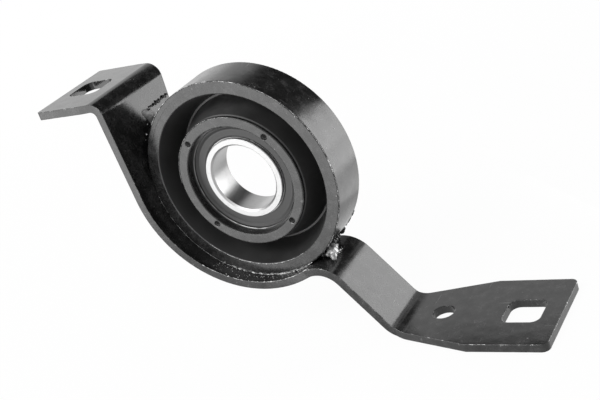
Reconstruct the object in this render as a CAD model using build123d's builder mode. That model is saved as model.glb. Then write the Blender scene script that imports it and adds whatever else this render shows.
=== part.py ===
from build123d import *
from math import asin, cos, degrees, hypot, pi, radians, sin, sqrt
import os

# Driveshaft centre bearing: a sealed ball bearing held by a rubber diaphragm in a
# steel ring, and the ring welded into a folded strap with a mounting ear at each end.
# Origin: the middle of the ball bearing. +Y runs along the shaft, away from the side
# with the open rubber groove. +X points to the long ear, +Z is normal to both ears.

# Ball bearing
bore_radius = 15.0
bearing_radius = 27.5
race_width = 13.0
race_chamfer = 0.8
edge_break = 0.25
ball_radius = 3.572
ball_count = 11
ball_play = 0.06
groove_ratio = 1.04
shoulder_reach = 2.4
outer_land_step = 0.25
inner_land_step = 0.65
land_break = 0.35
seal_pocket = 1.8

# Seals, snapped into a groove at each side of the outer race. A raised rim, then a
# slope down to a flat web that lies well below the races' faces, then a thin lip.
seal_groove_depth = 0.7
seal_groove_lip = 0.6
seal_rim_gap = 0.05
seal_moat_width = 0.3
seal_moat_depth = 0.35
seal_rim_width = 0.25
seal_slope_width = 1.1
seal_web_thickness = 0.5
seal_lip_gap = 0.35
seal_lip_width = 0.7
seal_lip_drop = 0.2

# Ball cage: two pressed ribbons riveted back to back
ribbon_thickness = 0.7
ribbon_width = 3.2
pocket_gap = 0.12
rivet_radius = 0.6
rivet_head_radius = 1.05
rivet_head_height = 0.45

# Bearing carrier: sleeve with an inward front lip
carrier_wall = 2.0
carrier_lip_thickness = 3.2
carrier_lip_radius = 25.0
carrier_rear_reach = 2.5
carrier_edge_round = 0.5
mark_count = 4
mark_radius = 1.4
mark_lift = 0.2
mark_circle_radius = 26.9
mark_start_angle = 44.0

# Outer ring, cut from tube
ring_radius = 45.2
ring_wall = 2.2
ring_width = 20.0
ring_shift = 0.5
ring_edge_round = 0.5

# Rubber diaphragm: one deep fold between the ring and the carrier
rubber_face_step = 0.15
rubber_rim_width = 3.4
rubber_rim_round = 0.5
fold_depth = 14.5
fold_floor_radius = 34.6
fold_floor_width = 0.8
hub_front_step = 1.6
hub_front_height = 0.4
hub_hollow = 0.15
web_thickness = 3.6
rear_lining = 1.4
rear_step = 0.6
rear_groove_depth = 8.5
rear_corner_round = 1.0

# Strap bracket: one flat blank, folded
plate = 3.5
ring_seat_gap = 0.1
ear_width = 46.0
waist_width = 27.4
short_ear_reach = 79.7
short_ear_height = 47.3
short_ear_bend = 2.6
short_ear_corner_round = 1.0
taper_lead = 4.5
wrap_end_angle = 293.4
release_bend = 10.8
long_arm_slope = 55.4
long_ear_bend = 8.0
long_ear_drop = 71.5
long_ear_reach = 119.5
flare_start = 52.2
flare_length = 33.6
long_ear_corner_round = 3.0
wrap_sections = 9

# Holes in the ears
slot_size = 16.0
slot_corner_round = 3.8
short_slot_edge = 13.0
long_slot_edge = 15.9
pilot_radius = 4.75
pilot_to_slot = 34.9

# Weld beads between the ring and the strap
weld_seat = 0.02
weld_crown = 0.7
weld_ripple = 0.5
long_weld_start = 300.0
long_weld_end = 309.0
long_weld_low_end = 304.5
long_weld_front = -8.5
long_weld_step = -1.0
long_weld_rear = 10.0
long_weld_ripple_count = 3
long_weld_low_ripple_count = 4
short_weld_start = 162.0
short_weld_end = 143.0
short_weld_front = 1.5
short_weld_rear = 10.2
short_weld_ripple_count = 4

# Worked out from the sizes above
half_race = race_width / 2
pitch_radius = (bore_radius + bearing_radius) / 2
ball_pitch_angle = 360 / ball_count
groove_radius = ball_radius * groove_ratio
groove_offset = groove_radius - ball_radius - ball_play
outer_shoulder = pitch_radius + shoulder_reach
inner_shoulder = pitch_radius - shoulder_reach
outer_land_radius = outer_shoulder + outer_land_step
inner_land_radius = inner_shoulder - inner_land_step
seal_seat_y = half_race - seal_groove_lip
pocket_floor = half_race - seal_pocket
pocket_radius = ball_radius + pocket_gap
carrier_radius = bearing_radius + carrier_wall
carrier_front = -half_race - carrier_lip_thickness
carrier_rear = half_race + carrier_rear_reach
ring_front = ring_shift - ring_width / 2
ring_rear = ring_shift + ring_width / 2
ring_bore = ring_radius - ring_wall
wrap_inner = ring_radius + ring_seat_gap
wrap_middle = wrap_inner + plate / 2
wrap_outer = wrap_inner + plate
short_ear_middle = short_ear_height - plate / 2
long_ear_middle = -long_ear_drop - plate / 2
short_arm_top = short_ear_middle - short_ear_bend - plate / 2

os.makedirs("parts", exist_ok=True)
nodes = []


def polar(radius, angle):
    """Point of the XZ plane at an angle from +X towards +Z."""
    return (radius * cos(radians(angle)), radius * sin(radians(angle)))


def save(part, name):
    """Labels a finished piece and writes it."""
    part.label = name
    export_step(part, f"parts/{name}.step")
    nodes.append(name)


# Strap bracket
# The blank starts to narrow just before the first fold, tapers evenly along the arm
# and round the ring, and keeps its narrow waist until it flares out in the last fold.
wrap_start_angle = 180.0
arm_length = short_arm_top
wrap_length = wrap_middle * radians(wrap_end_angle - wrap_start_angle)
short_bend_middle = short_ear_bend + plate / 2
short_fold_length = short_bend_middle * radians(90)


def strap_half_width(developed):
    """Half the blank's width at a developed length below the short ear's fold."""
    fold_and_lead = taper_lead + short_fold_length
    share = (fold_and_lead + developed) / (fold_and_lead + arm_length + wrap_length)
    return (ear_width + (waist_width - ear_width) * share) / 2


release_middle = release_bend + plate / 2
release_turn = wrap_end_angle - 270 + long_arm_slope
long_bend_middle = long_ear_bend + plate / 2
release_centre = polar(wrap_middle + release_middle, wrap_end_angle)
arm_normal = 90 - long_arm_slope
release_exit_z = release_centre[1] + polar(release_middle, arm_normal)[1]
bend_drop = long_bend_middle * (1 - cos(radians(long_arm_slope)))
long_arm_length = (release_exit_z - long_ear_middle - bend_drop) / sin(radians(long_arm_slope))

with BuildPart() as strap:
    # Round the ring: sections square to the sheet, each a little narrower
    for step in range(wrap_sections):
        turn = (wrap_end_angle - wrap_start_angle) * step / (wrap_sections - 1)
        angle = wrap_start_angle + turn
        x, z = polar(wrap_middle, angle)
        outward = (cos(radians(angle)), 0, sin(radians(angle)))
        along = (-sin(radians(angle)), 0, cos(radians(angle)))
        half_width = strap_half_width(arm_length + wrap_middle * radians(turn))
        with BuildSketch(Plane(origin=(x, 0, z), x_dir=outward, z_dir=along)):
            Rectangle(plate, 2 * half_width)
    loft()

    # Short arm, a flat taper standing beside the ring
    with BuildSketch(Plane.YZ.offset(-wrap_outer)):
        with BuildLine():
            top_half = strap_half_width(0)
            low_half = strap_half_width(arm_length)
            Polyline(
                (-low_half, 0),
                (low_half, 0),
                (top_half, arm_length),
                (-top_half, arm_length),
                close=True,
            )
        make_face()
    extrude(amount=plate)

    # Short ear and its fold, cut to the blank's outline seen from above
    with BuildPart() as short_end:
        with BuildSketch(Plane.XZ):
            with BuildLine():
                short_fold_start = -wrap_outer - short_ear_bend
                short_flat = Line((-short_ear_reach, short_ear_middle), (short_fold_start, short_ear_middle))
                JernArc(short_flat @ 1, short_flat % 1, short_bend_middle, -90)
            trace(line_width=plate)
        extrude(amount=ear_width / 2, both=True)
        with BuildSketch(Plane.XY.offset(short_ear_height)) as short_outline:
            with BuildLine():
                top_half = strap_half_width(0)
                taper_start = short_fold_start - taper_lead
                Polyline(
                    (-short_ear_reach, -ear_width / 2),
                    (taper_start, -ear_width / 2),
                    (-wrap_outer, -top_half),
                    (-wrap_inner, -top_half),
                    (-wrap_inner, top_half),
                    (-wrap_outer, top_half),
                    (taper_start, ear_width / 2),
                    (-short_ear_reach, ear_width / 2),
                    close=True,
                )
            make_face()
            fillet(short_outline.vertices().group_by(Axis.X)[0], short_ear_corner_round)
        extrude(amount=short_arm_top - short_ear_height, mode=Mode.INTERSECT)

    # Release bend and long arm, at the waist's width
    with BuildSketch(Plane.XZ):
        with BuildLine():
            leaving = (-sin(radians(wrap_end_angle)), cos(radians(wrap_end_angle)))
            release = JernArc(polar(wrap_middle, wrap_end_angle), leaving, release_middle, -release_turn)
            arm = Line(release @ 1, release @ 1 + (release % 1) * long_arm_length)
        trace(line_width=plate)
    extrude(amount=waist_width / 2, both=True)

    # Long ear and its fold, cut to the flared outline seen from above
    with BuildPart() as long_end:
        with BuildSketch(Plane.XZ):
            with BuildLine():
                long_fold = JernArc(arm @ 1, arm % 1, long_bend_middle, long_arm_slope)
                Line(long_fold @ 1, (long_ear_reach, long_ear_middle))
            trace(line_width=plate)
        extrude(amount=ear_width / 2, both=True)
        with BuildSketch(Plane.XY.offset(-long_ear_drop - plate)) as long_outline:
            with BuildLine():
                flare_end = flare_start + flare_length
                Polyline(
                    (release_centre[0], -waist_width / 2),
                    (flare_start, -waist_width / 2),
                    (flare_end, -ear_width / 2),
                    (long_ear_reach, -ear_width / 2),
                    (long_ear_reach, ear_width / 2),
                    (flare_end, ear_width / 2),
                    (flare_start, waist_width / 2),
                    (release_centre[0], waist_width / 2),
                    close=True,
                )
            make_face()
            fillet(long_outline.vertices().group_by(Axis.X)[-1], long_ear_corner_round)
        extrude(amount=long_ear_drop, mode=Mode.INTERSECT)

    # Bolt slots and the pilot hole
    short_slot_x = short_slot_edge - short_ear_reach
    long_slot_x = long_ear_reach - long_slot_edge
    with BuildSketch(Plane.XY.offset(short_ear_height)):
        with Locations((short_slot_x, 0)):
            RectangleRounded(slot_size, slot_size, slot_corner_round)
    extrude(amount=-plate, mode=Mode.SUBTRACT)
    with BuildSketch(Plane.XY.offset(-long_ear_drop)):
        with Locations((long_slot_x, 0)):
            RectangleRounded(slot_size, slot_size, slot_corner_round)
        with Locations((long_slot_x - pilot_to_slot, 0)):
            Circle(pilot_radius)
    extrude(amount=-plate, mode=Mode.SUBTRACT)
save(strap.part, "strap_bracket")


# Outer ring
with BuildPart() as ring:
    with BuildSketch() as ring_section:
        with Locations((ring_bore + ring_wall / 2, ring_shift)):
            Rectangle(ring_wall, ring_width)
        fillet(ring_section.vertices().group_by(Axis.X)[-1], ring_edge_round)
    revolve(axis=Axis.Y)
save(ring.part, "outer_ring")


# Rubber diaphragm
# Seen from the front it is a deep open groove. Its outer wall leans in from the ring to
# a narrow floor, and its inner wall runs forward again to the carrier.
floor_y = ring_front + fold_depth
floor_outer = fold_floor_radius + fold_floor_width / 2
floor_inner = fold_floor_radius - fold_floor_width / 2
rim_radius = ring_bore - rubber_rim_width
rubber_front = ring_front + rubber_face_step
rubber_rear = ring_rear - rear_step
hub_front = carrier_front + hub_front_step
hub_top = carrier_radius + hub_front_height
web_back = floor_y + web_thickness
lining_radius = ring_bore - rear_lining

with BuildPart() as rubber:
    with BuildSketch() as rubber_section:
        with BuildLine():
            hollow_x = (floor_inner + hub_top) / 2 - hub_hollow
            hollow_y = (floor_y + hub_front + hub_front_height) / 2
            front_rim = Line((ring_bore, rubber_front), (rim_radius, rubber_front))
            outer_wall = Line(front_rim @ 1, (floor_outer, floor_y))
            groove_floor = Line(outer_wall @ 1, (floor_inner, floor_y))
            inner_wall = ThreePointArc(
                groove_floor @ 1, (hollow_x, hollow_y), (hub_top, hub_front + hub_front_height)
            )
            Polyline(
                inner_wall @ 1,
                (carrier_radius, hub_front),
                (carrier_radius, web_back),
                (floor_outer + web_thickness / 2, web_back),
                (lining_radius - rear_lining / 2, rubber_rear - rear_groove_depth),
                (lining_radius, rubber_rear),
                (ring_bore, rubber_rear),
                (ring_bore, rubber_front),
            )
        make_face()
        rim_corner = rubber_section.vertices().sort_by_distance((rim_radius, rubber_front))[0]
        fillet(rim_corner, rubber_rim_round)
        web_corner_x = floor_outer + web_thickness / 2
        web_corner = rubber_section.vertices().sort_by_distance((web_corner_x, web_back))[0]
        fillet(web_corner, rear_corner_round)
    revolve(axis=Axis.Y)
save(rubber.part, "rubber_diaphragm")


# Bearing carrier
with BuildPart() as carrier:
    with BuildSketch() as carrier_section:
        with BuildLine():
            Polyline(
                (carrier_lip_radius, carrier_front),
                (carrier_radius, carrier_front),
                (carrier_radius, carrier_rear),
                (bearing_radius, carrier_rear),
                (bearing_radius, -half_race),
                (carrier_lip_radius, -half_race),
                close=True,
            )
        make_face()
        fillet(carrier_section.vertices().group_by(Axis.Y)[0], carrier_edge_round)
    revolve(axis=Axis.Y)
    with Locations(Plane.XZ.offset(mark_lift - carrier_front)):
        with PolarLocations(mark_circle_radius, mark_count, start_angle=mark_start_angle):
            Sphere(mark_radius, mode=Mode.SUBTRACT)
save(carrier.part, "bearing_carrier")


# Outer and inner race
with BuildPart() as outer_race:
    with BuildSketch() as outer_section:
        with Locations(((outer_land_radius + bearing_radius) / 2, 0)):
            Rectangle(bearing_radius - outer_land_radius, race_width)
        chamfer(outer_section.vertices().group_by(Axis.X)[-1], race_chamfer)
        chamfer(outer_section.vertices().group_by(Axis.X)[0], land_break)
        with Locations(((outer_shoulder + bearing_radius) / 2, 0)):
            Rectangle(bearing_radius - outer_shoulder, 2 * pocket_floor)
        with Locations((pitch_radius - groove_offset, 0)):
            Circle(groove_radius, mode=Mode.SUBTRACT)
        for side in (-1, 1):
            groove_middle = side * (pocket_floor + seal_seat_y) / 2
            with Locations((outer_land_radius + seal_groove_depth / 2, groove_middle)):
                Rectangle(seal_groove_depth, seal_seat_y - pocket_floor, mode=Mode.SUBTRACT)
    revolve(axis=Axis.Y)
save(outer_race.part, "outer_race")

with BuildPart() as inner_race:
    with BuildSketch() as inner_section:
        with Locations(((bore_radius + inner_land_radius) / 2, 0)):
            Rectangle(inner_land_radius - bore_radius, race_width)
        chamfer(inner_section.vertices().group_by(Axis.X)[0], race_chamfer)
        chamfer(inner_section.vertices().group_by(Axis.X)[-1], edge_break)
        with Locations(((bore_radius + inner_shoulder) / 2, 0)):
            Rectangle(inner_shoulder - bore_radius, 2 * pocket_floor)
        with Locations((pitch_radius + groove_offset, 0)):
            Circle(groove_radius, mode=Mode.SUBTRACT)
    revolve(axis=Axis.Y)
save(inner_race.part, "inner_race")


# Seals
def seal(side):
    """One seal: a bead in the race's groove, a raised rim, a sunken web and a thin lip."""
    bead_radius = outer_land_radius + seal_groove_depth - seal_rim_gap
    disc_radius = outer_land_radius - seal_rim_gap
    bead_front = seal_seat_y - seal_rim_gap
    web_back_y = pocket_floor + seal_rim_gap
    web_front_y = web_back_y + seal_web_thickness
    rim_outer = disc_radius - seal_moat_width
    rim_inner = rim_outer - seal_rim_width
    web_outer = rim_inner - seal_slope_width
    lip_radius = inner_land_radius + seal_lip_gap
    web_inner = lip_radius + seal_lip_width
    with BuildPart() as piece:
        with BuildSketch():
            with BuildLine():
                outline = [
                    (bead_radius, web_back_y),
                    (bead_radius, bead_front),
                    (disc_radius, bead_front),
                    (disc_radius, bead_front - seal_moat_depth),
                    (rim_outer, bead_front - seal_moat_depth),
                    (rim_outer, bead_front),
                    (rim_inner, bead_front),
                    (web_outer, web_front_y),
                    (web_inner, web_front_y),
                    (lip_radius, web_front_y - seal_lip_drop),
                    (lip_radius, web_back_y + seal_rim_gap),
                    (web_inner, web_back_y),
                ]
                Polyline([(radius, side * y) for radius, y in outline], close=True)
            make_face()
        revolve(axis=Axis.Y)
    return piece.part


save(seal(-1), "front_seal")
save(seal(1), "rear_seal")


# Ball cage and rivets
def cage_half(side):
    """One pressed ribbon: a flat ring with a domed pocket over every ball."""
    shell_radius = pocket_radius + ribbon_thickness
    outer_edge = pitch_radius + ribbon_width / 2
    inner_edge = pitch_radius - ribbon_width / 2
    with BuildPart() as ribbon:
        with BuildSketch(Plane.XZ):
            Circle(outer_edge)
            Circle(inner_edge, mode=Mode.SUBTRACT)
        extrude(amount=ribbon_thickness, both=True)
        with Locations(Plane.XZ):
            with PolarLocations(pitch_radius, ball_count, start_angle=90):
                Sphere(shell_radius)
        with BuildSketch(Plane.XZ):
            Circle(outer_edge)
            Circle(inner_edge, mode=Mode.SUBTRACT)
        extrude(amount=shell_radius, both=True, mode=Mode.INTERSECT)
        with Locations(Plane.XZ):
            with PolarLocations(pitch_radius, ball_count, start_angle=90):
                Sphere(pocket_radius, mode=Mode.SUBTRACT)
        with BuildSketch(Plane.XZ):
            with PolarLocations(pitch_radius, ball_count, start_angle=90 + ball_pitch_angle / 2):
                Circle(rivet_radius)
        extrude(amount=ribbon_thickness, both=True, mode=Mode.SUBTRACT)
        split(bisect_by=Plane.XZ, keep=Keep.TOP if side < 0 else Keep.BOTTOM)
    return ribbon.part


save(cage_half(-1), "cage_front_half")
save(cage_half(1), "cage_rear_half")

with BuildPart() as rivets:
    head_middle = ribbon_thickness + rivet_head_height / 2
    with Locations(Plane.XZ):
        with PolarLocations(pitch_radius, ball_count, start_angle=90 + ball_pitch_angle / 2):
            Cylinder(rivet_radius, 2 * ribbon_thickness)
            with Locations((0, 0, head_middle)):
                Cone(rivet_head_radius, rivet_radius, rivet_head_height)
            with Locations((0, 0, -head_middle)):
                Cone(rivet_radius, rivet_head_radius, rivet_head_height)
save(rivets.part, "cage_rivets")

for number in range(ball_count):
    ball_x, ball_z = polar(pitch_radius, 90 + number * ball_pitch_angle)
    with BuildPart() as ball:
        with Locations((ball_x, 0, ball_z)):
            Sphere(ball_radius)
    save(ball.part, f"ball_{number + 1:02d}")


# Weld beads
# Each fills the wedge where the strap leaves the ring. Its crown is a row of ripples.
def weld_bead(root_ring, face_ring, face_strap, root_strap, strap_bulge, front, rear, ripple_count):
    """A bead between a stretch of the ring's outside and a stretch of the strap."""
    ring_bulge = [(a + b) / 2 for a, b in zip(root_ring, face_ring)]
    reach = (ring_radius + weld_seat) / hypot(*ring_bulge)
    ring_bulge = (ring_bulge[0] * reach, ring_bulge[1] * reach)
    face_middle = ((face_ring[0] + face_strap[0]) / 2, (face_ring[1] + face_strap[1]) / 2)
    root_middle = ((root_ring[0] + root_strap[0]) / 2, (root_ring[1] + root_strap[1]) / 2)
    span = hypot(face_middle[0] - root_middle[0], face_middle[1] - root_middle[1])
    out_x = (face_middle[0] - root_middle[0]) / span
    out_z = (face_middle[1] - root_middle[1]) / span
    pitch = (rear - front) / ripple_count
    with BuildPart() as bead:
        for ripple in range(ripple_count):
            crown = weld_crown + weld_ripple * (ripple % 2)
            with BuildSketch(Plane.XZ.offset(-front - ripple * pitch)):
                with BuildLine():
                    ThreePointArc(root_ring, ring_bulge, face_ring)
                    ThreePointArc(
                        face_ring,
                        (face_middle[0] + out_x * crown, face_middle[1] + out_z * crown),
                        face_strap,
                    )
                    if strap_bulge:
                        ThreePointArc(face_strap, strap_bulge, root_strap)
                    else:
                        Line(face_strap, root_strap)
                    Line(root_strap, root_ring)
                make_face()
            extrude(amount=-pitch)
    return bead.part


def on_release(x):
    """Height of the release bend's ring side at x."""
    radius = release_bend + plate - weld_seat
    return release_centre[1] + sqrt(radius**2 - (x - release_centre[0]) ** 2) + 2 * weld_seat


def long_side_run(end_angle, front, rear, ripple_count):
    """A run of the long side's weld whose face ends at an angle round the ring."""
    root = polar(ring_radius + weld_seat, long_weld_start)
    face = polar(ring_radius + weld_seat, end_angle)
    root_x = root[0] - plate / 4
    face_x = face[0] + plate / 2
    bulge_x = (root_x + face_x) / 2
    return weld_bead(
        root,
        face,
        (face_x, on_release(face_x)),
        (root_x, on_release(root_x)),
        (bulge_x, on_release(bulge_x)),
        front,
        rear,
        ripple_count,
    )


# The full lump at the front, and the low run behind it
with BuildPart() as long_bead:
    add(long_side_run(long_weld_end, long_weld_front, long_weld_step, long_weld_ripple_count))
    add(long_side_run(long_weld_low_end, long_weld_step, long_weld_rear, long_weld_low_ripple_count))
save(long_bead.part, "long_side_weld")

short_root = polar(ring_radius + weld_seat, short_weld_start)
short_face = polar(ring_radius + weld_seat, short_weld_end)
arm_face_x = -wrap_inner + weld_seat
short_bead = weld_bead(
    short_root,
    short_face,
    (arm_face_x, short_face[1] + plate / 2),
    (arm_face_x, short_root[1]),
    None,
    short_weld_front,
    short_weld_rear,
    short_weld_ripple_count,
)
save(short_bead, "short_side_weld")

print(len(nodes), "nodes:", ", ".join(nodes))
cage_ratio = (1 - ball_radius / pitch_radius) / 2
print("cage ratio", round(cage_ratio, 6))
print("ball ratio", round(-(1 - cage_ratio) * (pitch_radius - ball_radius) / ball_radius, 6))
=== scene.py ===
# %% [markdown]
# # A driveshaft centre bearing, dressed for the camera
# This part carries the middle of a long driveshaft under a vehicle. A sealed ball bearing
# sits in a steel carrier, a folded rubber diaphragm holds the carrier inside a steel ring,
# and a folded strap holds the ring. Every solid already has its real size and place, so
# this lesson only adds what the solids can't say: finishes, soft edges, welds and light.

# %% Load the solids
import math
from random import Random

import bmesh
import bpy
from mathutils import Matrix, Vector, noise


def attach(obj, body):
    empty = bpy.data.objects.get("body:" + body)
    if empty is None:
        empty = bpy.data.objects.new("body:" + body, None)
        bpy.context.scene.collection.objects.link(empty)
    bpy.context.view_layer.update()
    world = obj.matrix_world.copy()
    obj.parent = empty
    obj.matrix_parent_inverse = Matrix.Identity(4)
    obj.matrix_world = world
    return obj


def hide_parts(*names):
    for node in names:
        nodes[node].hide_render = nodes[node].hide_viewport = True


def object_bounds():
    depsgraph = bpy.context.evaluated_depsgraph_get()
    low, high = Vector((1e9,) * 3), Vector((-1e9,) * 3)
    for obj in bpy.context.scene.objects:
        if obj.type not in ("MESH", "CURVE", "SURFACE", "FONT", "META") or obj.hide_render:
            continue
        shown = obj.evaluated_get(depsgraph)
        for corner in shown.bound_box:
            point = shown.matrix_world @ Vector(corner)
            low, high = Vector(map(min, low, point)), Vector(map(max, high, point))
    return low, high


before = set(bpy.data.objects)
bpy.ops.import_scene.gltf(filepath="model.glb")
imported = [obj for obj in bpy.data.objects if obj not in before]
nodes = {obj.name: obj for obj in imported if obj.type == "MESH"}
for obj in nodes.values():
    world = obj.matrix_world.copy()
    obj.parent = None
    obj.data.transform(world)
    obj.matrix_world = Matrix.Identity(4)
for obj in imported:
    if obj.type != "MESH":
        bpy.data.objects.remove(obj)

MM = 0.001
cad_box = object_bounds()
print("solids:", ", ".join(sorted(nodes)))

# %% [markdown]
# ## Where the camera stands
# The photograph was taken from the front right and a little above, with the camera rolled
# so that the strap runs downhill. The place and the three angles were found by matching
# the round edges of the bearing and the corners of the ears, and a 67 mm lens fits them.

# %% Camera
CAMERA_PLACE = (267.98, -349.20, 158.01)    # millimetres
CAMERA_TURNS = (66.820, 17.959, 27.968)     # degrees about X, Y and Z
LENS = 66.709                               # millimetres, in front of a 36 mm sensor

camera_data = bpy.data.cameras.new("camera")
camera_data.sensor_width = 36.0
camera_data.lens = LENS
camera_data.clip_start = 10 * MM
camera = bpy.data.objects.new("camera", camera_data)
camera.location = [side * MM for side in CAMERA_PLACE]
camera.rotation_euler = [math.radians(turn) for turn in CAMERA_TURNS]
bpy.context.scene.collection.objects.link(camera)
bpy.context.scene.camera = camera
bpy.context.scene.view_settings.view_transform = "Standard"
print("camera", [round(v, 3) for v in camera.location])

# %% [markdown]
# ## Helpers for shader nodes
# A finish is a small graph: noise feeds a ramp, the ramp feeds the shader. Writing each
# node takes three or four lines, so one helper makes a node, sets its options, and either
# links a socket or writes its value. A value that is the same everywhere is written
# straight on the shader's own socket, because that survives in every file format.

# %% Shader node helper
def add(tree, kind, inputs=None, **options):
    """Adds a shader node. An input is a value, or the output socket that feeds it."""
    shader_node = tree.nodes.new("ShaderNode" + kind)
    for name, value in options.items():
        setattr(shader_node, name, value)
    for name, value in (inputs or {}).items():
        if isinstance(value, bpy.types.NodeSocket):
            tree.links.new(value, shader_node.inputs[name])
        else:
            shader_node.inputs[name].default_value = value
    return shader_node


def grey(value):
    """A neutral colour."""
    return (value, value, value, 1.0)


def remap(tree, value, low, high, to_low, to_high):
    """Stretches a value from one range onto another, clamped at both ends."""
    limits = {"From Min": low, "From Max": high, "To Min": to_low, "To Max": to_high}
    return add(tree, "MapRange", {"Value": value, **limits}).outputs["Result"]


def combine(tree, operation, first, second):
    """One sum, product or other operation on two values."""
    return add(tree, "Math", {0: first, 1: second}, operation=operation).outputs[0]


print("number helpers ready")


# %% Mixing and sorting helpers
def blend_values(tree, share, first, second):
    """Mixes two numbers. Share is how much of the second there is."""
    inputs = {"Factor": share, 2: first, 3: second}
    return add(tree, "Mix", inputs, data_type="FLOAT").outputs[0]


def blend_normals(tree, share, first, second):
    """Mixes two surface directions."""
    inputs = {"Factor": share, 4: first, 5: second}
    return add(tree, "Mix", inputs, data_type="VECTOR").outputs[1]


def blend_greys(tree, share, first, second):
    """Mixes two colours, given as greys or as sockets."""
    first = grey(first) if isinstance(first, float) else first
    second = grey(second) if isinstance(second, float) else second
    inputs = {"Factor": share, 6: first, 7: second}
    return add(tree, "Mix", inputs, data_type="RGBA").outputs[2]


def hit_by(tree, *ray_kinds):
    """1 where a ray of one of these kinds arrives, and 0 for every other kind."""
    path = add(tree, "LightPath")
    share = path.outputs[ray_kinds[0]]
    for kind in ray_kinds[1:]:
        share = combine(tree, "MAXIMUM", share, path.outputs[kind])
    return share


print("mixing helpers ready")

# %% [markdown]
# ## The stage
# The part floats on pure white in the photograph. A white dome is what the camera, gloss
# and glass see, and it lights the surfaces more gently. A white floor under the long ear
# keeps a soft shadow. It fades into the dome with distance, so no horizon shows, and gloss
# looks through it, because a photographer's table is smaller than its reflection.

# %% White dome
DOME_ON_SURFACES = 0.42

world = bpy.data.worlds.new("white_dome")
bpy.context.scene.world = world
world.use_nodes = True
tree = world.node_tree
tree.nodes.clear()
seen = hit_by(tree, "Is Camera Ray", "Is Glossy Ray", "Is Transmission Ray")
strength = remap(tree, seen, 0.0, 1.0, DOME_ON_SURFACES, 1.0)
background = add(tree, "Background", {"Color": grey(1.0), "Strength": strength})
world_output = add(tree, "OutputWorld")
tree.links.new(background.outputs[0], world_output.inputs["Surface"])
print("dome strength on surfaces", DOME_ON_SURFACES)


# %% Objects and flat sheets
def place_mesh(name, mesh):
    """Puts a mesh into the scene as an object."""
    piece = bpy.data.objects.new(name, mesh)
    bpy.context.scene.collection.objects.link(piece)
    return piece


def studio_sheet(name, points):
    """A flat sheet of the studio, which isn't part of the object, and its empty material."""
    sheet_mesh = bpy.data.meshes.new(name)
    sheet_mesh.from_pydata(points, [], [range(len(points))])
    sheet = place_mesh(name, sheet_mesh)
    surface = bpy.data.materials.new(name)
    surface.use_nodes = True
    surface.node_tree.nodes.clear()
    sheet_mesh.materials.append(surface)
    return surface.node_tree, add(surface.node_tree, "OutputMaterial")


print("sheet helpers ready")

# %% Floor
FLOOR_WHITE = 0.86
FLOOR_REACH = 1.6             # metres from the middle to each side
FLOOR_FADE = (0.16, 0.60)     # metres from the middle, where the fade begins and ends
FLOOR_GLOW = 0.96             # how much of its white doesn't depend on light, in the middle

floor_z = cad_box[0][2]
corners = [(-1, -1), (1, -1), (1, 1), (-1, 1)]
floor_points = [(FLOOR_REACH * across, FLOOR_REACH * pit_shade, floor_z) for across, pit_shade in corners]
tree, output = studio_sheet("floor", floor_points)
coords = add(tree, "TexCoord").outputs["Object"]
flat = add(tree, "VectorMath", {0: coords, 1: (1, 1, 0)}, operation="MULTIPLY").outputs[0]
from_middle = add(tree, "VectorMath", {0: flat}, operation="LENGTH").outputs["Value"]
fade = remap(tree, from_middle, *FLOOR_FADE, FLOOR_GLOW, 1.0)
paper = add(tree, "BsdfDiffuse", {"Color": grey(FLOOR_WHITE)})
glow = add(tree, "Emission", {"Color": grey(1.0), "Strength": 1.0})
glow_share = combine(tree, "MULTIPLY", fade, hit_by(tree, "Is Camera Ray"))
lit = add(tree, "MixShader", {"Fac": glow_share, 1: paper.outputs[0], 2: glow.outputs[0]})
clear = add(tree, "BsdfTransparent")
see_through = hit_by(tree, "Is Glossy Ray", "Is Shadow Ray", "Is Transmission Ray")
surface = add(tree, "MixShader", {"Fac": see_through, 1: lit.outputs[0], 2: clear.outputs[0]})
tree.links.new(surface.outputs[0], output.inputs["Surface"])
print("floor at", round(floor_z / MM, 1), "mm")

# %% [markdown]
# ## Soft boxes
# Black gloss shows little but reflections, so the lamps draw this part. Five of the lamps
# are large panels a metre or more away. Each of them faces the bearing, and its direction
# is the one in which the photograph's bright faces mirror the camera's view. The sixth is
# small and close. It brightens only the ring's right end and a strip in the bore, where a
# large panel would light its neighbours too. A picture of a studio could light the part as
# well, but a lamp is moved by changing one number.

# %% Directions round the part
def towards(azimuth, elevation):
    """Unit vector: azimuth turns from +Y (behind the part) towards +X, elevation goes up."""
    turn, lift = math.radians(azimuth), math.radians(elevation)
    level = math.cos(lift)
    return Vector((level * math.sin(turn), level * math.cos(turn), math.sin(lift)))


print("straight behind is", [round(v, 2) for v in towards(0, 0)])


# %% Soft boxes
def soft_box(name, azimuth, elevation, distance, width, height, glow):
    """A flat lamp that faces the origin. Glow is its brightness, where 1 is white paper."""
    lamp = bpy.data.lights.new(name, "AREA")
    lamp.shape = "RECTANGLE"
    lamp.size = width
    lamp.size_y = height
    lamp.energy = glow * math.pi * width * height
    holder = bpy.data.objects.new(name, lamp)
    place = towards(azimuth, elevation) * distance
    holder.location = place
    holder.rotation_euler = place.to_track_quat("Z", "Y").to_euler()
    holder.visible_camera = False
    bpy.context.scene.collection.objects.link(holder)
    print(name, "at", [round(v, 2) for v in place], "power", round(lamp.energy, 1))


LAMPS = [
    # name, azimuth and elevation in degrees, distance, width and height in metres, glow
    ("back_right_box", 41, 8, 1.0, 0.62, 0.56, 4.25),
    ("back_right_low_box", 41, -16, 1.0, 0.62, 0.28, 3.4),
    ("low_right_lamp", 42, -31, 0.158, 0.075, 0.050, 1.15),
    ("front_left_box", -149, -3, 1.0, 0.90, 0.86, 2.65),
    ("front_top_strip", -152, 46, 1.1, 1.10, 0.36, 7.0),
    ("back_left_glow", -46, 12, 1.2, 0.50, 0.40, 0.25),
]
for lamp_row in LAMPS:
    soft_box(*lamp_row)

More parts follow.
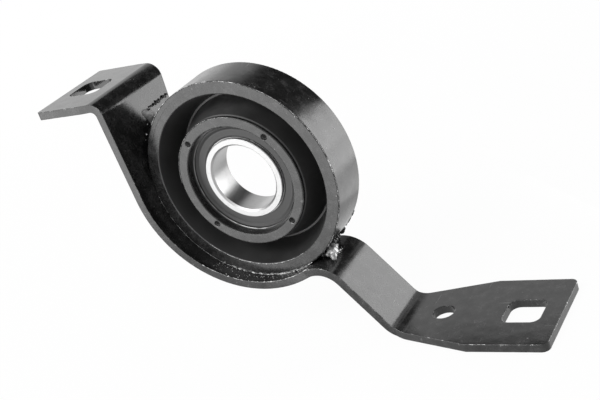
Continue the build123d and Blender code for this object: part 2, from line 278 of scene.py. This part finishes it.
# %% [markdown]
# ## A black card and a grey net
# A photographer of black gloss holds dark things up as well as lamps. A black card stands
# close behind the ring. It is the dark stripe on both folds, on the ring's top and in the
# bore, and because it is close, each of them sees it in another direction, as the
# photograph shows. A small grey net stands where the shaft would leave the bearing. It dims
# the light in the bore, so that the bore's back edge stays visible. Both are dark only to
# gloss and to shadow rays, so the camera and the soft light of the room pass through them.


# %% What a card and a net do to light
def hold_up(name, behind, outline, shade):
    """An upright sheet behind the part, which takes a share of what gloss and lamps send."""
    tree, output = studio_sheet(name, [(x * MM, behind * MM, z * MM) for x, z in outline])
    black = add(tree, "BsdfDiffuse", {"Color": grey(0.01)})
    clear = add(tree, "BsdfTransparent")
    share = combine(tree, "MULTIPLY", hit_by(tree, "Is Glossy Ray", "Is Shadow Ray"), shade)
    surface = add(tree, "MixShader", {"Fac": share, 1: clear.outputs[0], 2: black.outputs[0]})
    tree.links.new(surface.outputs[0], output.inputs["Surface"])
    print(name, "stands", behind, "mm behind the bearing and takes", shade, "of the light")


# %% Black card and grey net
CARD_OUTLINE = [
    # x and z in millimetres: the low edge from left to right, then the far sides and the top
    (-4, 24), (66, 24), (72, 40), (84, 41), (90, 27), (99, 27), (111, 72),
    (135, 260), (-170, 260), (-100, 145), (-25, 128), (0, 95),
]
NET_OUTLINE = [(1, -34), (28, -34), (29, 14), (4, 14)]

hold_up("black_card", 117, CARD_OUTLINE, 1.0)
hold_up("grey_net", 42, NET_OUTLINE, 0.68)

# %% [markdown]
# ## What real surfaces have in common
# No surface is one flat colour. Clouds change the colour slowly, orange peel and grain
# bend the reflections, dust sits in specks, and sharp edges are really small rounds. Each
# of these is one helper here, and every finish below is built from them.

# %% Clouds, grain and specks
def speckle(tree, coords, scale, detail=4.0, roughness=0.55, stretch=None):
    """Noise from 0 to 1 whose grains are about 1 / scale metres across."""
    if stretch:
        coords = add(tree, "Mapping", {"Vector": coords, "Scale": stretch}).outputs["Vector"]
    settings = {"Vector": coords, "Scale": scale, "Detail": detail, "Roughness": roughness}
    return add(tree, "TexNoise", settings).outputs["Fac"]


def specks(tree, coords, spacing, radius, share):
    """1 on scattered round specks and 0 between them. Share is how many places have one."""
    cells = add(tree, "TexVoronoi", {"Vector": coords, "Scale": 1 / spacing})
    reach = radius / spacing
    dot = remap(tree, cells.outputs["Distance"], reach, reach * 0.4, 0.0, 1.0)
    pick = add(tree, "SeparateColor", {"Color": cells.outputs["Color"]}).outputs[0]
    chosen = remap(tree, pick, 1 - share, 1 - share + 0.01, 0.0, 1.0)
    return combine(tree, "MULTIPLY", dot, chosen)


def relief(tree, height, depth, normal=None):
    """Bends the surface's normal by a height map that is depth metres from low to high."""
    inputs = {"Strength": 1.0, "Distance": depth, "Height": height}
    if normal:
        inputs["Normal"] = normal
    return add(tree, "Bump", inputs).outputs["Normal"]


print("surface helpers ready")


# %% Soft edges, and places round the shaft
def true_normal(tree):
    """The direction that the solid's surface really faces."""
    return add(tree, "NewGeometry").outputs["Normal"]


def soft_edges(tree, radius):
    """The normal of a surface whose sharp edges are rounds, and a mask of those edges."""
    rounded = add(tree, "Bevel", {"Radius": radius}, samples=6).outputs["Normal"]
    pair = {0: rounded, 1: true_normal(tree)}
    dot = add(tree, "VectorMath", pair, operation="DOT_PRODUCT").outputs["Value"]
    return rounded, remap(tree, dot, 0.995, 0.86, 0.0, 1.0)


def around_shaft(tree, coords):
    """Distance from the shaft's axis, and the place along it."""
    parts = add(tree, "SeparateXYZ", {"Vector": coords})
    across = {"X": parts.outputs["X"], "Y": parts.outputs["Z"]}
    flat = add(tree, "CombineXYZ", across).outputs[0]
    radius = add(tree, "VectorMath", {0: flat}, operation="LENGTH").outputs["Value"]
    return radius, parts.outputs["Y"]


def ground_rings(tree, coords, scale):
    """Noise that is the same all the way round the shaft, so it makes fine rings."""
    radius, along = around_shaft(tree, coords)
    return speckle(tree, add(tree, "CombineXYZ", {"X": radius, "Y": along}).outputs[0], scale, 2.0)


print("edge helpers ready")


# %% An empty finish, and its surface
def new_finish(name):
    """An empty material: the material, its tree and the part's coordinates."""
    finish = bpy.data.materials.new(name)
    finish.use_nodes = True
    tree = finish.node_tree
    tree.nodes.clear()
    print("finish", name)
    return finish, tree, add(tree, "TexCoord").outputs["Object"]


def make_surface(tree, colour, rough, normal, metal=0.0):
    """Feeds the shader of a finish. Each value is a number or a socket."""
    inputs = {"Base Color": colour, "Roughness": rough, "Normal": normal, "Metallic": metal}
    shader = add(tree, "BsdfPrincipled", inputs)
    output = add(tree, "OutputMaterial")
    tree.links.new(shader.outputs[0], output.inputs["Surface"])


# %% [markdown]
# ## Black paint
# The strap and the ring are pressed and rolled steel under one coat of black semi-gloss
# paint. The colour is nearly black, and what the eye reads as grey is gloss. So the work
# goes into the gloss: a slow waviness of the sheet, fine orange peel, dust on and under the
# coat, and a thin bright line where the coat pulls away from a sharp edge. The greys below
# are what each of these shows against the black.

# %% Greys in black paint
DUST_GREY = 0.065          # fine dust that lies on the coat
THIN_GREY = 0.05           # the coat where it is thin, at an edge
GRAIN_GREY = 0.24          # grains of dust under the coat
SCRATCH_GREY = 0.13        # fine scratches
BARE_GREY = 0.40           # steel, where the edge is worn through
# The next grey is painted shade, not a colour of the paint: the floors of the carrier's round
# marks.
PIT_SHADE_GREY = 0.003           # the floors of the carrier's round marks
print("greys from", PIT_SHADE_GREY, "to", BARE_GREY)


# %% Dust and scratches
def dust_film(tree, coords, most):
    """How much fine dust lies at each place: slow clouds, broken up by a fine grain."""
    clouds = remap(tree, speckle(tree, coords, 210.0, 5.0, 0.7), 0.44, 0.70, 0.0, most)
    grain = remap(tree, speckle(tree, coords, 1250.0, 3.0, 0.7), 0.40, 0.66, 0.25, 1.0)
    return combine(tree, "MULTIPLY", clouds, grain)


def dust_grains(tree, coords, share):
    """Small grains and a few large ones."""
    small = specks(tree, coords, 2.6 * MM, 0.24 * MM, share)
    large = specks(tree, coords, 7.5 * MM, 0.42 * MM, share)
    return combine(tree, "MAXIMUM", small, large)


def fine_scratches(tree, coords):
    """Scratches along the shaft's axis, and others across it."""
    lengthwise = speckle(tree, coords, 900.0, 2.0, stretch=(1.0, 0.07, 0.5))
    crosswise = speckle(tree, coords, 900.0, 2.0, stretch=(0.10, 1.0, 0.12))
    lengthwise = remap(tree, lengthwise, 0.72, 0.76, 0.0, 0.6)
    crosswise = remap(tree, crosswise, 0.73, 0.77, 0.0, 0.6)
    return combine(tree, "MAXIMUM", lengthwise, crosswise)


print("dust helpers ready")


# %% Painted shade in the carrier's round marks
MARKS_BETWEEN = (25.3 * MM, 29.4 * MM)      # the marks lie in this band of radii
MARKS_BLUR = 0.2 * MM


def shaded_pit_floors(tree, coords, behind):
    """1 in the marks, which are deeper than the carrier's face and get painted shade, and 0
    elsewhere.
    """
    radius, along = around_shaft(tree, coords)
    inner, outer = MARKS_BETWEEN
    pit_shade = remap(tree, along, behind, behind + 0.1 * MM, 0.0, 1.0)
    far_enough = remap(tree, radius, inner, inner + MARKS_BLUR, 0.0, 1.0)
    near_enough = remap(tree, radius, outer, outer - MARKS_BLUR, 0.0, 1.0)
    pit_shade = combine(tree, "MULTIPLY", pit_shade, far_enough)
    return combine(tree, "MULTIPLY", pit_shade, near_enough)


print("marks lie between", [round(v / MM, 1) for v in MARKS_BETWEEN], "mm from the axis")


# %% Colour of the coat
def coat_colour(tree, coords, dark, light, film, grains, edges):
    """Black that varies slowly, with dust, grains and scratches, and thin at its edges."""
    colour = blend_greys(tree, speckle(tree, coords, 70.0, 3.0), dark, light)
    colour = blend_greys(tree, dust_film(tree, coords, film), colour, DUST_GREY)
    thin = remap(tree, speckle(tree, coords, 800.0), 0.42, 0.62, 0.0, 1.0)
    colour = blend_greys(tree, combine(tree, "MULTIPLY", edges, thin), colour, THIN_GREY)
    colour = blend_greys(tree, combine(tree, "MULTIPLY", grains, 0.75), colour, GRAIN_GREY)
    return blend_greys(tree, fine_scratches(tree, coords), colour, SCRATCH_GREY)


def coat_relief(tree, coords, wave, peel, grains, rounded):
    """Slow waves, orange peel on them, and grains on top."""
    normal = relief(tree, speckle(tree, coords, 190.0, 1.5), wave, rounded)
    normal = relief(tree, speckle(tree, coords, 1300.0, 2.0), peel, normal)
    return relief(tree, grains, 0.04 * MM, normal)


print("coat helpers ready")


# %% Finish: black paint
def black_paint(
    name, dark, light, rough,
    wave=0.035 * MM, peel=0.010 * MM, dust=0.30, edge=0.50 * MM, wear=0.8, film=0.8,
    keep_in=0.0, shade_pits_behind=None,
):
    """Semi-gloss black paint over sheet steel.

    Dark and light are the greys between which the coat varies. Wave and peel are the
    depths of its slow waves and its orange peel, dust is the share of grains, edge the
    radius of its soft edges, wear how bare they are, and film how much dust lies on it.
    Inside the radius keep_in no edge is worn or soft. Behind shade_pits_behind, the carrier's
    round marks are dull and painted darker: painted shade in their floors.
    """
    finish, tree, coords = new_finish(name)
    rounded, edges = soft_edges(tree, edge)
    if keep_in:
        radius, _ = around_shaft(tree, coords)
        outside = remap(tree, radius, keep_in - 0.3 * MM, keep_in, 0.0, 1.0)
        edges = combine(tree, "MULTIPLY", edges, outside)
        rounded = blend_normals(tree, outside, true_normal(tree), rounded)
    grains = dust_grains(tree, coords, dust)
    colour = coat_colour(tree, coords, dark, light, film, grains, edges)
    bare = 0.0
    if wear:
        patches = remap(tree, speckle(tree, coords, 420.0, 3.0), 0.56, 0.62, 0.0, wear)
        bare = combine(tree, "MULTIPLY", edges, patches)
        colour = blend_greys(tree, bare, colour, BARE_GREY)
    gloss = speckle(tree, coords, 150.0, 5.0)
    gloss = remap(tree, gloss, 0.3, 0.7, rough - 0.04, rough + 0.06)
    # Painted shade: the floors of the carrier's round marks are painted near black.
    if shade_pits_behind is not None:
        pit_shade = shaded_pit_floors(tree, coords, shade_pits_behind)
        colour = blend_greys(tree, pit_shade, colour, PIT_SHADE_GREY)
        gloss = combine(tree, "MAXIMUM", gloss, combine(tree, "MULTIPLY", pit_shade, 0.9))
    normal = coat_relief(tree, coords, wave, peel, grains, rounded)
    make_surface(tree, colour, gloss, normal, metal=bare)
    return finish


# %% Paint of the strap, the ring and the carrier
bracket_paint = black_paint("bracket_paint", 0.007, 0.014, 0.155)
ring_paint = black_paint(
    "ring_paint", 0.007, 0.014, 0.20, edge=0.32 * MM, film=1.0, keep_in=44.6 * MM,
)
# The carrier's coat has painted shade in the floors of its round marks.
carrier_paint = black_paint(
    "carrier_paint", 0.008, 0.016, 0.24, dust=0.12, shade_pits_behind=-8.95 * MM,
)

# %% [markdown]
# ## Rubber
# The diaphragm is moulded rubber, dull inside the fold, and the top of its hub is painted
# lighter, as painted light from above. Its front rim was painted over together with the
# ring, so there it has the paint's gloss and its dust, and no seam shows where metal ends
# and rubber begins. The seals are thinner rubber, on which the mould left fine rings.

# %% Finish: diaphragm rubber
# The next grey is painted light on the top of the hub.
HUB_TOP_LIGHT_GREY = 0.075
RIM_GREY = 0.010
RIM_ROUGH = 0.23


def fold_rubber(name, rim_radius, rim_front):
    """Dull moulded rubber whose front rim shines like the ring. The hub's top has painted light.
    """
    finish, tree, coords = new_finish(name)
    radius, along = around_shaft(tree, coords)
    outward = remap(tree, radius, rim_radius - 0.3 * MM, rim_radius, 0.0, 1.0)
    frontward = remap(tree, along, rim_front + 0.4 * MM, rim_front + 0.1 * MM, 0.0, 1.0)
    rim = combine(tree, "MULTIPLY", outward, frontward)
    clouds = speckle(tree, coords, 90.0, 4.0)
    colour = blend_greys(tree, clouds, 0.014, 0.024)
    # Painted light: the top of the hub is painted lighter, in uneven patches, as if lit from
    # above.
    height = add(tree, "SeparateXYZ", {"Vector": coords}).outputs["Z"]
    on_top = remap(tree, height, 27.0 * MM, 32.5 * MM, 0.0, 1.0)
    on_hub = remap(tree, radius, 36.0 * MM, 34.5 * MM, 0.0, 1.0)
    painted_top_light = combine(tree, "MULTIPLY", on_top, on_hub)
    uneven = remap(tree, speckle(tree, coords, 120.0, 5.0, 0.65), 0.35, 0.65, 0.3, 1.0)
    painted_top_light = combine(tree, "MULTIPLY", painted_top_light, uneven)
    colour = blend_greys(tree, painted_top_light, colour, HUB_TOP_LIGHT_GREY)
    painted = blend_greys(tree, dust_film(tree, coords, 1.0), RIM_GREY, DUST_GREY)
    colour = blend_greys(tree, rim, colour, painted)
    dull = remap(tree, clouds, 0.3, 0.7, 0.42, 0.52)
    rough = blend_values(tree, rim, dull, RIM_ROUGH)
    normal = relief(tree, speckle(tree, coords, 240.0, 2.0), 0.03 * MM)
    normal = relief(tree, speckle(tree, coords, 1500.0, 3.0), 0.010 * MM, normal)
    make_surface(tree, colour, rough, normal)
    return finish


diaphragm_rubber = fold_rubber("diaphragm_rubber", 39.6 * MM, -9.35 * MM)


# %% Finish: seal rubber
def ringed_rubber(name, dark, light, rough):
    """Thin moulded rubber with fine rings left by the mould."""
    finish, tree, coords = new_finish(name)
    rings = ground_rings(tree, coords, 2600.0)
    colour = blend_greys(tree, speckle(tree, coords, 260.0, 4.0), dark, light)
    rough = remap(tree, rings, 0.3, 0.7, rough - 0.05, rough + 0.05)
    normal = relief(tree, rings, 0.010 * MM)
    normal = relief(tree, speckle(tree, coords, 900.0, 3.0), 0.012 * MM, normal)
    make_surface(tree, colour, rough, normal)
    return finish


seal_rubber = ringed_rubber("seal_rubber", 0.010, 0.020, 0.42)

# %% [markdown]
# ## Bearing steel
# Races are ground on a spindle, so fine rings run round the shaft's axis. The side faces
# look satin, and the bore is smoother and shines. The outer race is painted near black, as
# painted shade of the recess it sits in, and only its inner edge is bare.

# %% Finish: inner race and balls
def ground_steel(name, dark, light, face_rough, bore_rough, bore_radius):
    """Ground steel that is satin on its faces and bright in its bore."""
    finish, tree, coords = new_finish(name)
    radius, _ = around_shaft(tree, coords)
    rings = ground_rings(tree, coords, 5200.0)
    colour = blend_greys(tree, rings, dark, light)
    streaks = remap(tree, speckle(tree, coords, 700.0, 4.0), 0.55, 0.8, 0.0, 0.5)
    colour = blend_greys(tree, streaks, colour, dark * 0.8)
    bore = remap(tree, radius, bore_radius + 0.06 * MM, bore_radius + 0.02 * MM, 0.0, 1.0)
    rough = blend_values(tree, bore, face_rough, bore_rough)
    rough = combine(tree, "ADD", rough, remap(tree, rings, 0.3, 0.7, -0.03, 0.03))
    make_surface(tree, colour, rough, relief(tree, rings, 0.005 * MM), metal=1.0)
    return finish


inner_steel = ground_steel("inner_race_steel", 0.34, 0.46, 0.44, 0.30, 15.0 * MM)
ball_steel = ground_steel("ball_steel", 0.62, 0.70, 0.10, 0.10, 0.0)


# %% Finish: outer race
def shade_painted_steel(name, bare_radius, bare_width):
    """Steel painted near black as painted shade of its recess, bare on its inner edge."""
    finish, tree, coords = new_finish(name)
    radius, _ = around_shaft(tree, coords)
    outer = bare_radius + bare_width
    bare = remap(tree, radius, outer, outer - 0.2 * bare_width, 0.0, 1.0)
    worn = remap(tree, speckle(tree, coords, 260.0, 3.0), 0.30, 0.50, 0.0, 1.0)
    bare = combine(tree, "MULTIPLY", bare, worn)
    # Painted shade: the race's colour is near black for the shade of its recess.
    colour = blend_greys(tree, speckle(tree, coords, 300.0), 0.010, 0.024)
    colour = blend_greys(tree, bare, colour, 0.20)
    rough = blend_values(tree, bare, 0.30, 0.34)
    normal = relief(tree, speckle(tree, coords, 1100.0, 3.0), 0.010 * MM)
    make_surface(tree, colour, rough, normal, metal=bare)
    return finish


outer_steel = shade_painted_steel("outer_race_steel", 23.9 * MM, 0.20 * MM)

# %% [markdown]
# ## Weld metal
# Weld metal froze from the melt, so it has no grinding marks. Where it is bare, its crests
# are light and its pits sooty. Where it was painted, it is the black paint again with
# deeper waves. On the bead's smooth skin it is painted light grey and duller: a painted
# reflection of the lamps on black paint.

# %% Finish: bare and painted weld
def splash_steel(name, dark, light, rough, grain):
    """Metal that froze from the melt: light crests, sooty pits and no grinding marks."""
    finish, tree, coords = new_finish(name)
    crests = remap(tree, speckle(tree, coords, 700.0, 4.0), 0.40, 0.62, 0.0, 1.0)
    colour = blend_greys(tree, crests, dark, light)
    rough = remap(tree, crests, 0.0, 1.0, rough + 0.15, rough)
    normal = relief(tree, speckle(tree, coords, 900.0, 3.0), grain)
    make_surface(tree, colour, rough, normal, metal=0.85)
    return finish


weld_steel = splash_steel("weld_steel", 0.24, 0.52, 0.44, 0.05 * MM)
burr_steel = splash_steel("burr_steel", 0.20, 0.66, 0.36, 0.04 * MM)
weld_paint = black_paint(
    "weld_paint", 0.006, 0.014, 0.24, wave=0.08 * MM, peel=0.02 * MM, wear=0.3,
)
# Painted reflection: the bead's skin is painted light grey, as the lamps' reflection on black
# paint.
bead_painted_sheen = black_paint("bead_painted_sheen", 0.17, 0.25, 0.42, wave=0.02 * MM, wear=0.0)

# %% [markdown]
# ## Lumps of weld
# Hand welding leaves no two lumps alike. A lump could be carved by hand, but it is easier
# to start with a few overlapping balls of steel, as if they were drops from the rod. They
# are melted into one skin, smoothed, and roughened by noise. The mould is made with a
# millimetre as its unit and scaled down last, so the numbers in it stay easy to read.

# %% Give a piece its finish
def finish_piece(piece, finish, replaced=None):
    """Gives a new piece its material, and the body that it moves with."""
    piece.data.materials.append(finish)
    for polygon in piece.data.polygons:
        polygon.use_smooth = True
    if replaced:
        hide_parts(replaced)
    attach(piece, "housing")
    print(piece.name, len(piece.data.polygons), "faces")


def mesh_of(name, shape):
    """Turns a finished bmesh into a mesh."""
    mesh = bpy.data.meshes.new(name)
    shape.to_mesh(mesh)
    shape.free()
    return mesh


print("piece helpers ready")


# %% Melt balls into a lump
def melted(name, balls, grain, cell=0.16):
    """Melts balls (x, y, z and radius in millimetres) into one lump, grain mm rough."""
    shape = bmesh.new()
    for x, y, z, radius in balls:
        ball = bmesh.ops.create_icosphere(shape, subdivisions=3, radius=radius)
        bmesh.ops.translate(shape, verts=ball["verts"], vec=(x, y, z))
    mould = place_mesh(name + "_mould", mesh_of(name + "_mould", shape))
    melt = mould.modifiers.new("melt", "REMESH")
    melt.mode = "VOXEL"
    melt.voxel_size = cell
    soften = mould.modifiers.new("soften", "SMOOTH")
    soften.iterations = 4
    depsgraph = bpy.context.evaluated_depsgraph_get()
    lump_mesh = bpy.data.meshes.new_from_object(mould.evaluated_get(depsgraph))
    bpy.data.objects.remove(mould)
    lump_mesh.name = name
    skin = [(vertex.co.copy(), vertex.normal.copy()) for vertex in lump_mesh.vertices]
    for vertex, (place, normal) in zip(lump_mesh.vertices, skin):
        rise = noise.noise(place * 0.9) + noise.noise(place * 2.7) * 0.45
        vertex.co = (place + normal * (rise * grain)) * MM
    return place_mesh(name, lump_mesh)


# %% [markdown]
# ## The weld beside the long ear
# Under the ring, where the strap leaves it for the long ear, sits a bright bare lump. It
# stands in for the plain bead of the solids. Behind it, a dark run follows the joint between
# ring and strap to the rear, half hidden in the gap, and is painted over.

# %% Weld beside the long ear
silver_lump = [
    (29.2, -4.2, -38.1, 2.00), (28.3, -5.0, -37.3, 1.45), (27.6, -3.6, -37.6, 1.80),
    (29.4, -2.9, -37.1, 1.45), (29.6, -1.2, -37.0, 0.90), (29.7, -5.6, -39.3, 1.45),
    (30.1, -6.3, -40.1, 1.05), (30.1, -3.4, -38.9, 1.20), (28.2, -3.8, -40.0, 1.60),
    (29.4, -1.6, -38.0, 1.00), (27.3, -5.0, -38.6, 1.35),
]
lump = melted("silver_weld", silver_lump, 0.19)
finish_piece(lump, weld_steel, replaced="long_side_weld")

dark_run = [(24.3, y, -39.3, 1.25) for y in (-4.2, -2.2, -0.2, 1.8, 3.8, 5.8, 7.8, 9.4)]
dark_run += [
    (26.2, -5.0, -38.5, 1.20), (26.3, -3.2, -38.7, 1.50), (26.2, -1.4, -38.4, 1.40),
    (26.2, 0.4, -37.6, 1.00), (26.8, 2.2, -36.7, 0.90), (26.7, 4.4, -36.9, 0.80),
    (26.6, 6.4, -37.0, 0.80), (25.9, 8.6, -37.5, 0.80), (25.2, 10.3, -37.2, 0.75),
    (26.8, 10.5, -37.0, 1.00), (27.5, 10.6, -36.3, 0.90), (28.2, 10.6, -35.6, 0.65),
]
finish_piece(melted("dark_weld", dark_run, 0.30), weld_paint)

# %% [markdown]
# ## The weld beside the short ear
# Here the bead lies in the corner between the ring and the short arm. The photograph shows
# three things there: a painted root in the corner, a smooth grey skin that wetted the arm's
# face, and a crumbly dark crust above it. The skin is melted from balls as the others are,
# and then pressed flat against the arm. The crust is a row of small rough lumps whose sizes
# and places are dice throws, always from the same seed, so each run gives the same crust.

# %% Root of the bead, and the skin on the arm
root_run = [
    (-42.4, 7.5, 25.5, 2.2), (-41.0, 8.5, 24.0, 1.9),
    (-42.4, 10.0, 25.8, 2.0), (-41.2, 6.6, 23.6, 1.5),
]
root = melted("painted_weld", root_run, 0.10)
finish_piece(root, weld_paint, replaced="short_side_weld")

ARM_FACE = -45.3         # x of the short arm's face, in millimetres
SKIN_SINK = 0.1          # how far the skin's middle lies behind that face
SKIN_PRESS = 0.32        # how thick the skin is left by the press
smooth_run = [
    (ARM_FACE, 3.3, 30.5, 2.3), (ARM_FACE, 2.0, 31.7, 1.6), (ARM_FACE, 5.2, 29.9, 2.2),
    (ARM_FACE, 4.5, 28.3, 1.9), (ARM_FACE, 4.9, 26.6, 1.6), (ARM_FACE, 6.6, 27.8, 2.2),
    (ARM_FACE, 5.6, 25.4, 1.1),
]
skin = melted("weld_skin", smooth_run, 0.05)
for vertex in skin.data.vertices:
    out = vertex.co.x / MM - ARM_FACE
    vertex.co.x = (ARM_FACE - SKIN_SINK + out * SKIN_PRESS) * MM
# The skin's light grey is painted reflection.
finish_piece(skin, bead_painted_sheen)

# %% Crust above the skin
CRUST_START = (-44.75, 5.2, 32.2)       # millimetres
CRUST_LUMPS = 21
CRUST_STEP = 0.75                       # millimetres from lump to lump, to the rear

dice = Random(31)
crust = []
x, y, z = CRUST_START
for place in range(CRUST_LUMPS):
    off = dice.uniform(-0.15, 0.15)
    rise = dice.uniform(-0.40, 0.35)
    crust.append((x + off, y + CRUST_STEP * place, z + rise, dice.uniform(0.28, 0.60)))
finish_piece(melted("weld_crust", crust, 0.36, cell=0.12), weld_paint)

# %% [markdown]
# ## Spatter
# Welding throws drops, which freeze where they land. A plain ball would look like a bead of
# glass, so each drop is a small ball whose three sides are stretched by chance and whose
# skin is dented by noise. They sit half sunk in the strap, the arm and the ring's face.

# %% Frozen drops
def drops(name, places, seed):
    """Many small frozen drops in one piece. Places and radii are in millimetres."""
    dice = Random(seed)
    shape = bmesh.new()
    for x, y, z, radius in places:
        drop = bmesh.ops.create_icosphere(shape, subdivisions=2, radius=radius)
        offset = Vector([dice.uniform(-50, 50) for _ in range(3)])
        stretch = [dice.uniform(0.7, 1.2) for _ in range(3)]
        for vertex in drop["verts"]:
            bumpy = 1 + 0.45 * noise.noise(vertex.co * (1.3 / radius) + offset)
            stretched = Vector([side * factor for side, factor in zip(vertex.co, stretch)])
            vertex.co = (Vector((x, y, z)) + stretched * bumpy) * MM
    return place_mesh(name, mesh_of(name, shape))


def on_ring(angle, along, radius):
    """A place on a round surface, from its angle above +X and its place along the shaft."""
    turn = math.radians(angle)
    return (radius * math.cos(turn), along, radius * math.sin(turn))


spatter = [
    (28.8, 1.4, -41.0, 0.58), (29.0, 0.0, -41.2, 0.40), (28.1, 4.2, -41.0, 0.28),
    (28.9, 3.0, -41.2, 0.22),
    (-45.2, -1.6, 23.0, 0.38), (-45.2, 1.4, 26.4, 0.25), (-45.2, -3.4, 21.2, 0.20),
    (*on_ring(35, -9.45, 44.7), 0.35), (*on_ring(347, -9.45, 44.3), 0.30),
]
finish_piece(drops("spatter", spatter, 5), burr_steel)

# %% [markdown]
# ## Burrs
# A burr is the torn lip that a saw leaves on an edge: a thin crooked thread of metal that
# comes and goes. Noise in the finish alone would stay flat in profile, so each burr is a
# real thread with five sides. It is built row by row along the edge. Slow noise says how
# strong it is, and where it is too weak the thread ends, and a new one starts further on.

# %% Rows of a torn thread
SIDES = 5


def torn_row(shape, dice, centre, side_way, up_way, size):
    """One crooked loop of points round the thread's middle."""
    row = []
    for side in range(SIDES):
        turn = side * math.tau / SIDES
        reach = size * dice.uniform(0.7, 1.2)
        point = centre + side_way * (reach * math.cos(turn)) + up_way * (reach * math.sin(turn))
        row.append(shape.verts.new(point * MM))
    return row


def close_thread(shape, rows):
    """Skins the rows and caps both ends. A thread of one or two rows is dropped."""
    if len(rows) > 2:
        for row in (rows[0][::-1], rows[-1]):
            shape.faces.new(row)
        for near, far in zip(rows, rows[1:]):
            for side in range(SIDES):
                after = (side + 1) % SIDES
                shape.faces.new((near[side], near[after], far[after], far[side]))
    elif rows:
        stray = [vertex for row in rows for vertex in row]
        bmesh.ops.delete(shape, geom=stray, context="VERTS")
    rows.clear()


print("thread helpers ready,", SIDES, "sides")

# %% Burrs: crooked threads of metal along an edge
BREAK_CHANCE = 0.04        # how often a thread breaks for no reason
WAVER = 0.35               # how far the thread strays from the edge, in thicknesses


def burr(name, path_at, start, end, step, thickness, seed, gap):
    """A broken thread of torn metal. path_at gives the edge's place at an angle."""
    dice = Random(seed)
    shape = bmesh.new()
    rows = []
    angle = start
    while angle < end:
        here, ahead = Vector(path_at(angle)), Vector(path_at(angle + step))
        along = (ahead - here).normalized()
        side_way = along.orthogonal().normalized()
        up_way = along.cross(side_way)
        strength = noise.noise(Vector((angle * 0.35, seed * 7.1, 0))) * 0.5 + 0.5
        if strength < gap or dice.random() < BREAK_CHANCE:
            close_thread(shape, rows)
        else:
            size = thickness * (0.35 + strength) * dice.uniform(0.7, 1.3)
            centre = here + Vector([dice.uniform(-1, 1) * thickness * WAVER for _ in range(3)])
            rows.append(torn_row(shape, dice, centre, side_way, up_way, size))
        angle += step
    close_thread(shape, rows)
    bmesh.ops.recalc_face_normals(shape, faces=shape.faces)
    return place_mesh(name, mesh_of(name, shape))


# %% The edges that carry burrs
def round_edge(along, radius):
    """A path round the shaft, at one radius and one place along the shaft."""
    return lambda angle: on_ring(angle, along, radius)


def strap_front_edge(angle):
    """The strap gets narrower towards the long ear, so this edge isn't in one plane."""
    return on_ring(angle, -19.5 + 0.0517 * (angle - 180), 45.35)


ring_front_edge = round_edge(-9.3, 45.05)
ring_front_corner = round_edge(-9.42, 45.12)
ring_front_face = round_edge(-9.48, 44.5)
ring_rear_edge = round_edge(10.35, 45.15)
rim_inner_edge = round_edge(-9.40, 39.72)
carrier_edge = round_edge(-9.68, 29.42)
print("ring's front edge starts at", ring_front_edge(0))

# %% [markdown]
# ## Which edges are torn
# The strongest burr hangs under the ring's front, where the saw left the tube. The others
# are finer, and catch the light as the thin broken lines that the photograph shows round
# the ring, the rubber's rim, the carrier and the strap.

# %% Burrs
BURRS = [
    # name, edge, from and to in degrees, step in degrees, thickness in mm, seed, gap
    ("front_burr_low", ring_front_edge, 240, 298, 0.45, 0.29, 3, 0.08),
    ("front_burr_fine", ring_front_face, 236, 292, 0.45, 0.10, 11, 0.44),
    ("front_burr_high", ring_front_edge, 58, 112, 0.45, 0.12, 4, 0.38),
    ("front_burr_left", ring_front_corner, 119, 139, 0.45, 0.19, 6, 0.06),
    ("front_burr_dim", ring_front_corner, 184, 240, 0.60, 0.065, 23, 0.16),
    ("front_burr_right", ring_front_edge, 1, 9, 0.45, 0.20, 9, 0.20),
    ("front_burr_fine_right", ring_front_corner, -52, 58, 0.60, 0.060, 29, 0.30),
    ("strap_burr", strap_front_edge, 222, 298, 0.45, 0.14, 13, 0.34),
    ("rim_burr", rim_inner_edge, 226, 298, 0.60, 0.095, 17, 0.10),
    ("carrier_burr", carrier_edge, 78, 176, 0.60, 0.065, 19, 0.12),
]
for burr_row in BURRS:
    finish_piece(burr(*burr_row), burr_steel)
fringe = burr("rear_fringe", ring_rear_edge, 305, 324, 0.5, 0.34, 8, 0.12)
finish_piece(fringe, weld_paint)

# %% [markdown]
# ## Crumbs under the torn edge
# The saw's crumbs stuck to the strap just in front of the ring, thickest near the edge and
# thinner towards the strap's own front. So most of them are thrown into a narrow band, and
# the rest into a wider one.

# %% Crumbs of metal on the strap
STRAP_INSIDE = 45.25        # radius of the strap's inner face, in millimetres
CRUMBS_FROM = -9.7          # just in front of the ring, along the shaft

dice = Random(21)
crumbs = []
for count, far in ((80, -12.2), (60, -16.0)):
    for _ in range(count):
        place = on_ring(dice.uniform(234, 294), dice.uniform(far, CRUMBS_FROM), STRAP_INSIDE)
        crumbs.append((*place, dice.uniform(0.06, 0.20)))
finish_piece(drops("saw_crumbs", crumbs, 22), burr_steel)

# %% [markdown]
# ## Dress the solids
# The solids have the right shapes, so they only change their materials. Both weld solids
# stay hidden behind the lumps that replace them. Balls, cage and rivets are shut in behind
# the seals, and share one polished steel.

# %% Materials for the solids
finishes = {
    "strap_bracket": bracket_paint,
    "outer_ring": ring_paint,
    "rubber_diaphragm": diaphragm_rubber,
    "bearing_carrier": carrier_paint,
    "outer_race": outer_steel,
    "inner_race": inner_steel,
    "front_seal": seal_rubber,
    "rear_seal": seal_rubber,
    "long_side_weld": weld_steel,
    "short_side_weld": weld_paint,
}
for name, solid in nodes.items():
    solid.data.materials.clear()
    solid.data.materials.append(finishes.get(name, ball_steel))
print("dressed", len(nodes), "solids")
